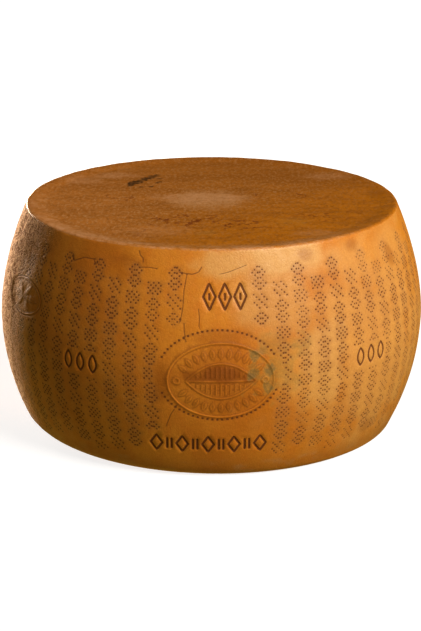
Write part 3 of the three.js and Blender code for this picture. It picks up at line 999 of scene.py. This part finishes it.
def make_rind(context):
    """Adds the rind to the scene as one mesh."""
    wheel = context.scene.cheese_wheel
    outline = Outline(wheel.sizes)
    rng = np.random.default_rng(wheel.marks.seed)
    points, faces, values = shape_rind(outline, wheel.marks, rng)
    middle = (points[:, :2].min(axis=0) + points[:, :2].max(axis=0)) / 2
    points[:, :2] -= middle

    mesh = bpy.data.meshes.new(PIECE)
    mesh.vertices.add(len(points))
    mesh.vertices.foreach_set("co", (points * MM).ravel())
    mesh.loops.add(faces.size)
    mesh.loops.foreach_set("vertex_index", faces.ravel())
    mesh.polygons.add(len(faces))
    mesh.polygons.foreach_set("loop_start", np.arange(0, faces.size, 3))
    mesh.update(calc_edges=True)
    if mesh.validate():
        raise RuntimeError("the rind's mesh has faults")
    for name, value in values.items():
        mesh.attributes.new(name, "FLOAT", "POINT").data.foreach_set("value", value.astype(np.float32))
    mesh.shade_smooth()
    rind = bpy.data.objects.new(PIECE, mesh)
    context.scene.collection.objects.link(rind)
    return rind


class Nodes:
    """Builds the nodes of a material or of the surroundings, which feed one shader."""

    def __init__(self, owner, shader):
        owner.use_nodes = True
        self.tree = owner.node_tree
        self.shader = self.tree.nodes[shader]

    def node(self, kind, inputs=None, **settings):
        made = self.tree.nodes.new(kind)
        for name, value in settings.items():
            setattr(made, name, value)
        for name, value in (inputs or {}).items():
            self.feed(made.inputs[name], value)
        return made

    def feed(self, socket, value):
        if isinstance(value, bpy.types.NodeSocket):
            self.tree.links.new(value, socket)
        elif socket.type == "RGBA":
            socket.default_value = (*value, 1)
        else:
            socket.default_value = value

    def value(self, name):
        return self.node("ShaderNodeAttribute", attribute_name=name).outputs["Fac"]

    def noise(self, place, size, detail=3.0, rough=0.5, warp=0.0):
        """Noise with lumps of about a size in metres."""
        inputs = {"Vector": place, "Scale": 1 / size, "Detail": detail, "Roughness": rough}
        return self.node("ShaderNodeTexNoise", {**inputs, "Distortion": warp}).outputs["Fac"]

    def step(self, value, low, high, bottom=0.0, top=1.0):
        inputs = {"Value": value, "From Min": low, "From Max": high, "To Min": bottom, "To Max": top}
        return self.node("ShaderNodeMapRange", inputs, interpolation_type="SMOOTHSTEP").outputs["Result"]

    def math(self, operation, *values):
        made = self.node("ShaderNodeMath", operation=operation)
        for socket, value in zip(made.inputs, values):
            self.feed(socket, value)
        return made.outputs[0]

    def mix(self, amount, first, second, blend="MIX"):
        made = self.node("ShaderNodeMix", data_type="RGBA", blend_type=blend)
        for socket, value in zip((made.inputs[0], made.inputs[6], made.inputs[7]), (amount, first, second)):
            self.feed(socket, value)
        return made.outputs[2]

    def stretched(self, place, factors):
        """Coordinates stretched along each axis, so that what is drawn with them is stretched too."""
        return self.node("ShaderNodeVectorMath", {0: place, 1: factors}, operation="MULTIPLY").outputs[0]

    def tint(self, base, amount, share, over):
        """A colour under a share of another, as strong as an amount or one of the rind's values says."""
        amount = self.value(amount) if isinstance(amount, str) else amount
        return self.mix(self.math("MULTIPLY", amount, share), base, over)


def rind_finish(colours):
    """The oiled, golden-brown rind."""
    material = bpy.data.materials.new("rind")
    f = Nodes(material, "Principled BSDF")
    place = f.node("ShaderNodeTexCoord").outputs["Object"]
    upright = f.stretched(place, (1, 1, 0.35))
    axes = f.node("ShaderNodeSeparateXYZ", {0: place})
    across, ahead = axes.outputs["X"], axes.outputs["Y"]
    burn, coarse = f.value("burn"), f.value("coarse")

    skin = f.mix(f.step(f.noise(place, 0.085, 4, 0.55, 0.4), 0.38, 0.66), colours.gold, colours.amber)
    skin = f.mix(f.step(f.noise(upright, 0.011, 4, 0.6), 0.45, 0.7, 0, 0.5), skin, colours.orange)
    skin = f.mix(f.step(f.noise(place, 0.006, 3, 0.6), 0.5, 0.75, 0, 0.3), skin, colours.amber)
    # Painted light and painted highlight: paler skin where the lamps fall.
    skin = f.tint(skin, "painted_light", 0.8, colours.painted_light)

    # Painted light: the upper face turns more golden towards the front right, the side of the key lamp.
    golden = f.step(f.math("SUBTRACT", across, ahead), -0.05, 0.2)
    deep = f.stretched(place, (1, 0.45, 1))
    wide = f.stretched(place, (0.35, 1, 1))
    top = f.mix(f.step(f.noise(wide, 0.06, 3, 0.6), 0.38, 0.64, 0, 0.7), colours.crust, colours.crust_dark)
    top = f.tint(top, golden, 0.85, colours.crust_lit)
    # Painted sheen: the left part of the upper face is paler and pinker, as if light grazed it from the back
    # left.
    top = f.mix(f.step(across, -0.16, 0.02, 0.6, 0), top, colours.crust_sheen)
    top = f.mix(f.step(f.noise(wide, 0.014, 5, 0.75), 0.42, 0.66, 0, 0.5), top, colours.crust_dark)
    specks = f.step(f.noise(deep, 0.0032, 3, 0.7), 0.46, 0.64)
    top = f.tint(top, specks, f.step(golden, 0, 1, 0.75, 0.25), colours.crust_pale)
    pits = f.step(f.noise(deep, 0.0042, 3, 0.7), 0.5, 0.66, 0, 0.55)
    top = f.mix(pits, top, colours.crust_dark)
    rough_round = f.step(f.noise(deep, 0.0036, 4, 0.75), 0.36, 0.56, 0.25, 1)
    top = f.tint(top, "heart", rough_round, colours.crust_pale)
    ridge = f.math("ABSOLUTE", f.math("SUBTRACT", f.noise(place, 0.028, 3, 0.6), 0.5))
    top = f.tint(top, "vein", f.step(ridge, 0.004, 0.03, 0.9, 0), colours.vein)
    # Painted shade: the back of the upper face is darker, away from the key lamp.
    top = f.mix(f.step(ahead, -0.02, 0.17, 0, 0.42), top, colours.crust_dark)

    colour = f.mix(f.value("crown"), skin, top)
    # The coarse skin is paler and pinker: partly its own colour and partly painted sheen of the edge lamp.
    colour = f.tint(colour, coarse, 0.7, colours.chapped_and_sheen)
    # Scuffs and the worn band inside the rim are paler, and so are the patches of painted sheen on the upper
    # face.
    patchy = f.step(f.noise(place, 0.005, 3, 0.6), 0.35, 0.6, 0.3, 0.85)
    colour = f.tint(colour, "pale", patchy, colours.rubbed_and_sheen)
    colour = f.tint(colour, "blush", 0.92, colours.blush)
    # Painted shade along the foot, and dirt and painted shade in the seals' grooves and beside their raised
    # lines.
    colour = f.tint(colour, "dirt_and_shade", 0.7, colours.dirt_and_shade)
    stain = f.value("stain")
    colour = f.mix(f.step(stain, 0.05, 0.8, 0, 0.45), colour, colours.haze)
    blotchy = f.math("MULTIPLY", stain, f.step(f.noise(place, 0.0045, 4, 0.6), 0.3, 0.6, 0.65, 1.05))
    colour = f.mix(f.step(blotchy, 0.3, 1.05, 0, 0.66), colour, colours.stain)
    colour = f.tint(colour, "scorch", 0.4, colours.scorched)
    grain = f.step(f.noise(place, 0.0016, 2, 0.6), 0.25, 0.75, 0, 0.15)
    colour = f.mix(grain, colour, colours.amber, "MULTIPLY")
    fields = {"Vector": place, "Scale": 1 / CRACK_SPACING}
    crackle = f.node("ShaderNodeTexVoronoi", fields, feature="DISTANCE_TO_EDGE").outputs["Distance"]
    cracks = f.math("MULTIPLY", f.step(crackle, 0.02, 0.2, 1, 0), f.step(f.noise(place, 0.005, 2), 0.4, 0.56))
    pocks = f.step(f.noise(place, CRACK_SPACING, 2, 0.6), 0.54, 0.62, 0, 0.9)
    cracks = f.math("MULTIPLY", f.math("MAXIMUM", cracks, pocks), coarse)
    # The cracks and pocks of the coarse skin are darkened: dirt and painted shade in them.
    colour = f.tint(colour, cracks, 0.95, colours.dirt_and_shade)
    # Dots and burned lines take the burned colour, and so does the painted shade in the creases.
    colour = f.mix(f.step(burn, 0.05, 0.5, 0, 0.9), colour, colours.burned)
    colour = f.tint(colour, "ink", 0.85, colours.ink)
    f.feed(f.shader.inputs["Base Color"], colour)

    rough = f.step(f.noise(place, 0.01, 3), 0.3, 0.7, *OILED_ROUGHNESS)
    rough = f.math("ADD", rough, f.math("MULTIPLY", f.math("MAXIMUM", burn, coarse), BURNED_ROUGHNESS))
    dusty = f.math("SUBTRACT", coarse, f.math("MULTIPLY", cracks, 1.2))  # the coarse skin between its cracks
    pores = f.node("ShaderNodeBump", {**PORES, "Height": f.noise(place, 0.0026, 3, 0.65)}).outputs[0]
    broken = f.node("ShaderNodeBump", {**CRACKS, "Height": f.math("SUBTRACT", 1, cracks), "Normal": pores})
    finish = {
        "Roughness": rough,
        "Sheen Weight": f.math("MULTIPLY", f.math("MAXIMUM", dusty, 0), DUSTY_SHEEN),
        "Sheen Roughness": 0.5,
        "Sheen Tint": (1, 0.8, 0.6),
        "IOR": 1.45,
        "Normal": broken.outputs[0],
    }
    for name, value in finish.items():
        f.feed(f.shader.inputs[name], value)
    return material


def put(context, name, data, place, at):
    """Adds a lamp or the camera at a place and turns it so that it looks at a point."""
    obj = bpy.data.objects.new(name, data)
    obj.location = place
    obj.rotation_euler = (at - obj.location).to_track_quat("-Z", "Y").to_euler()
    context.scene.collection.objects.link(obj)
    return obj


def towards(azimuth, elevation):
    """Direction from the wheel, with azimuth 0 in front and positive to the right."""
    c = math.cos(elevation)
    return Vector((math.sin(azimuth) * c, -math.cos(azimuth) * c, math.sin(elevation)))


def add_sun(context, name, light):
    """A soft, even light from one direction."""
    lamp = bpy.data.lights.new(name, "SUN")
    lamp.energy = light.strength
    lamp.color = light.colour
    lamp.angle = light.softness
    put(context, name, lamp, towards(light.azimuth, light.elevation) * SUN_DISTANCE, LIGHT_TARGET)


def add_strip(context, name, strip):
    """An upright panel of light that stands on the floor."""
    lamp = bpy.data.lights.new(name, "AREA")
    lamp.shape = "RECTANGLE"
    lamp.size, lamp.size_y = strip.width, strip.tall
    lamp.energy = strip.strength
    lamp.color = strip.colour
    middle = Vector((0, 0, strip.tall / 2))
    panel = put(context, name, lamp, towards(strip.azimuth, 0) * strip.distance + middle, middle)
    panel.visible_camera = False


def make_floor(context, stage):
    """The plain pale floor."""
    mesh = bpy.data.meshes.new("floor")
    shape = bmesh.new()
    bmesh.ops.create_circle(shape, cap_ends=True, segments=96, radius=FLOOR_RADIUS)
    shape.to_mesh(mesh)
    shape.free()
    floor = bpy.data.objects.new("floor", mesh)
    context.scene.collection.objects.link(floor)
    material = bpy.data.materials.new("floor")
    f = Nodes(material, "Principled BSDF")
    finish = {
        "Base Color": stage.floor_colour,
        "Roughness": 1,
        "Specular IOR Level": 0,
        "Emission Color": (1, 1, 1),
        "Emission Strength": stage.floor_glow,
    }
    for name, value in finish.items():
        f.feed(f.shader.inputs[name], value)
    mesh.materials.append(material)
    # The light that the floor sends back comes from the surroundings, which reach the wheel from below too.
    floor.visible_diffuse = False
    floor.visible_glossy = False
    floor.visible_shadow = False


def set_surroundings(context, stage):
    """Dim light from all round, of one colour from above and another from the floor."""
    world = bpy.data.worlds.new("studio")
    f = Nodes(world, "Background")
    direction = f.node("ShaderNodeTexCoord").outputs["Generated"]
    rise = f.node("ShaderNodeSeparateXYZ", {0: direction}).outputs["Z"]
    colour = f.mix(f.step(rise, -0.3, 0.3), stage.bounce_colour, stage.fill_colour)
    f.feed(f.shader.inputs["Color"], colour)
    f.shader.inputs["Strength"].default_value = stage.fill_strength
    context.scene.world = world


def make_camera(context, stage, middle):
    """The camera, which looks at the middle of the wheel from a little above."""
    lens = bpy.data.cameras.new("camera")
    lens.lens = stage.focal_length
    lens.sensor_width = 36  # millimetres
    outwards = towards(0, stage.camera_elevation)
    right = Vector((1, 0, 0))
    at = middle - right * stage.look_left - outwards.cross(right) * stage.look_below
    context.scene.camera = put(context, "camera", lens, middle + outwards * stage.camera_distance, at)


def number(name, text, default, **more):
    return bpy.props.FloatProperty(name=name, description=text, default=default, **more)


def length(name, text, default):
    return number(name, text, default, unit="LENGTH", precision=4)


def turn(name, text, degrees):
    return number(name, text, math.radians(degrees), subtype="ANGLE")


def colour(name, text, default):
    return bpy.props.FloatVectorProperty(
        name=name, description=text, default=default, size=3, subtype="COLOR", min=0, max=1)


def group(name, text, kind):
    return bpy.props.PointerProperty(name=name, description=text, type=kind)


class WheelSizes(bpy.types.PropertyGroup):
    """Sizes of the wheel."""

    height: length("Height", "From the floor to the rim", 0.236)
    belly_radius: length("Belly radius", "Radius at half height", 0.225)
    edge_inset: length("Edge inset", "How far both edges stand in from the belly", 0.0295)
    rim_rounding: length("Rim rounding", "Rounding of the upper edge", 0.0018)
    foot_rounding: length("Foot rounding", "Mean rounding of the lower edge", 0.0095)
    dish_depth: length("Dish depth", "How far the upper face sinks inside the rim", 0.0025)
    lip_width: length("Lip width", "Width over which most of the dish sinks", 0.022)


class RindMarks(bpy.types.PropertyGroup):
    """Marks pricked, pressed and burned into the rind."""

    columns: bpy.props.IntProperty(name="Columns", description="Pricked columns all round", default=64, min=8)
    dot_diameter: length("Dot diameter", "Diameter of a pricked dot", 0.0019)
    dot_pitch: length("Dot pitch", "Distance between neighbouring dots", 0.0025)
    dot_depth: length("Dot depth", "Depth of a pricked dot", 0.0004)
    burn_depth: length("Burn depth", "Depth of the burned lines", 0.0006)
    grain: length("Grain", "Distance between the points of the plain rind", 0.0046)
    seed: bpy.props.IntProperty(name="Seed", description="Start of the random draws", default=7)


class RindColours(bpy.types.PropertyGroup):
    """Colours of the rind."""

    gold: colour("Gold", "The palest part of the side", (0.75, 0.315, 0.034))
    amber: colour("Amber", "The deeper clouds of the side", (0.62, 0.225, 0.014))
    orange: colour("Orange", "Upright streaks of the side", (0.7, 0.245, 0.02))
    # Painted light: paler skin where the lamps fall, near the rim and at the right.
    painted_light: colour("Fair", "The fairest skin, near the rim", (0.78, 0.49, 0.195))
    crust: colour("Crust", "The upper face", (0.53, 0.215, 0.03))
    # Painted light on the front right part of the upper face.
    crust_lit: colour("Golden crust", "The front right part of the upper face", (0.6, 0.23, 0.004))
    crust_dark: colour("Dark crust", "Darker clouds of the upper face", (0.36, 0.135, 0.013))
    # Painted sheen on the left part of the upper face.
    crust_sheen: colour("Dusty crust", "The left part of the upper face", (0.56, 0.24, 0.058))
    crust_pale: colour("Pale crust", "The rough round in the middle of the upper face", (0.6, 0.32, 0.13))
    vein: colour("Veins", "Thin reddish lines on the upper face", (0.24, 0.06, 0.008))
    # Partly the coarse skin's own colour and partly painted sheen of the edge lamp.
    chapped_and_sheen: colour("Chapped", "The coarse, cracked skin at the left and the back", (0.64, 0.36, 0.19))
    # Scuffs and the worn rim, and the painted sheen on the upper face.
    rubbed_and_sheen: colour("Rubbed", "Rim and scuffs, where the oil is worn off", (0.68, 0.38, 0.19))
    blush: colour("Blush", "Reddish-brown patches", (0.35, 0.11, 0.012))
    # Dirt and painted shade: the grooves and cracks, and the painted contact shade along the foot.
    dirt_and_shade: colour("Dirt", "What has settled in grooves and cracks", (0.3, 0.1, 0.015))
    haze: colour("Haze", "Soft edges of the ink stains", (0.5, 0.36, 0.12))
    stain: colour("Stain", "Blue-green ink stains", (0.09, 0.12, 0.075))
    scorched: colour("Scorched", "Skin between the dots", (0.52, 0.26, 0.1))
    # Also the painted shade in the creases.
    burned: colour("Burned", "Dots and burned lines", (0.17, 0.055, 0.015))
    ink: colour("Ink", "Strokes on the upper face", (0.035, 0.018, 0.008))


class StageLight(bpy.types.PropertyGroup):
    """One lamp of the stage."""

    azimuth: turn("Azimuth", "Direction round the wheel, 0 in front and positive to the right", 50)
    elevation: turn("Elevation", "Height above the floor's plane", 43)
    softness: turn("Softness", "Apparent size of the lamp", 28)
    strength: number("Strength", "Light on a surface that faces the lamp", 4.05)
    colour: colour("Colour", "Colour of the light", (1.0, 0.96, 0.9))


class StageStrip(bpy.types.PropertyGroup):
    """The upright panel of light behind the wheel."""

    azimuth: turn("Azimuth", "Direction round the wheel, 0 in front and positive to the right", -149)
    distance: length("Distance", "From the wheel's axis", 1.8)
    width: length("Width", "Width of the panel", 0.8)
    tall: length("Height", "From the floor to its upper end", 0.234)
    strength: number("Strength", "Power of the panel in watts", 106)
    colour: colour("Colour", "Colour of the light", (1.0, 0.86, 0.7))


class StageSettings(bpy.types.PropertyGroup):
    """Floor, lamps and camera."""

    floor_colour: colour("Floor", "Colour of the floor", (0.25, 0.25, 0.25))
    floor_glow: number("Floor glow", "Light of the floor itself", 0.85)
    fill_colour: colour("Fill", "Colour of the light from above and all round", (0.08, 0.06, 0.04))
    bounce_colour: colour("Bounce", "Colour of the light that comes back from the floor", (0.93, 0.83, 0.2))
    fill_strength: number("Fill strength", "Light from all round", 0.4)
    gamma: number("Gamma", "Below 1 for a picture with more contrast", 0.8)
    focal_length: number("Focal length", "Of the camera's lens", 111.2, unit="CAMERA")
    camera_distance: length("Camera distance", "From the wheel's middle", 2.1)
    camera_elevation: turn("Camera elevation", "Above the horizon", 17.48)
    look_below: length("Look below", "How far below the wheel's middle the camera looks", 0.0111)
    look_left: length("Look left", "How far to the left of it", 0.00075)
    key: group("Key light", "Large soft light at the right", StageLight)
    edge: group("Edge light", "Light behind at the left", StageStrip)


class WheelSettings(bpy.types.PropertyGroup):
    """Everything that the panel shows."""

    sizes: group("Sizes", "Sizes of the wheel", WheelSizes)
    marks: group("Marks", "Marks in the rind", RindMarks)
    colours: group("Colours", "Colours of the rind", RindColours)
    stage: group("Stage", "Floor, lamps and camera", StageSettings)


class MakeRind(bpy.types.Operator):
    """Make the wheel with its marked rind"""

    bl_idname = "cheese.make_rind"
    bl_label = "Make the rind"

    def execute(self, context):
        rind = make_rind(context)
        rind.data.materials.append(rind_finish(context.scene.cheese_wheel.colours))
        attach(rind, "root")
        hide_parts(NODE)
        return {"FINISHED"}


class SetStage(bpy.types.Operator):
    """Set up the floor, the lamps and the camera"""

    bl_idname = "cheese.set_stage"
    bl_label = "Set the stage"

    def execute(self, context):
        stage = context.scene.cheese_wheel.stage
        make_floor(context, stage)
        add_sun(context, "key_light", stage.key)
        add_strip(context, "edge_light", stage.edge)
        set_surroundings(context, stage)
        make_camera(context, stage, Vector((0, 0, context.scene.cheese_wheel.sizes.height / 2)))
        view = context.scene.view_settings
        view.view_transform = "Standard"
        view.look = "None"
        view.gamma = stage.gamma
        return {"FINISHED"}


class CheesePanel(bpy.types.Panel):
    """Lists the steps and their settings."""

    bl_idname = "VIEW3D_PT_cheese"
    bl_label = "Cheese wheel"
    bl_space_type = "VIEW_3D"
    bl_region_type = "UI"
    bl_category = "Cheese"

    def draw(self, context):
        settings = context.scene.cheese_wheel
        for step in STEPS:
            self.layout.operator(step.bl_idname)
        for part in (settings.sizes, settings.marks, settings.colours, settings.stage):
            box = self.layout.box()
            for name in part.__annotations__:
                box.prop(part, name)


STEPS = (MakeRind, SetStage)
GROUPS = (WheelSizes, RindMarks, RindColours, StageLight, StageStrip, StageSettings, WheelSettings)
CLASSES = (*GROUPS, *STEPS, CheesePanel)


def register():
    for each in CLASSES:
        bpy.utils.register_class(each)
    bpy.types.Scene.cheese_wheel = group("Cheese wheel", "Settings of the cheese wheel", WheelSettings)


def unregister():
    del bpy.types.Scene.cheese_wheel
    for each in reversed(CLASSES):
        bpy.utils.unregister_class(each)


def main():
    register()
    bpy.ops.cheese.make_rind()
    bpy.ops.cheese.set_stage()


if __name__ == "__main__":
    main()
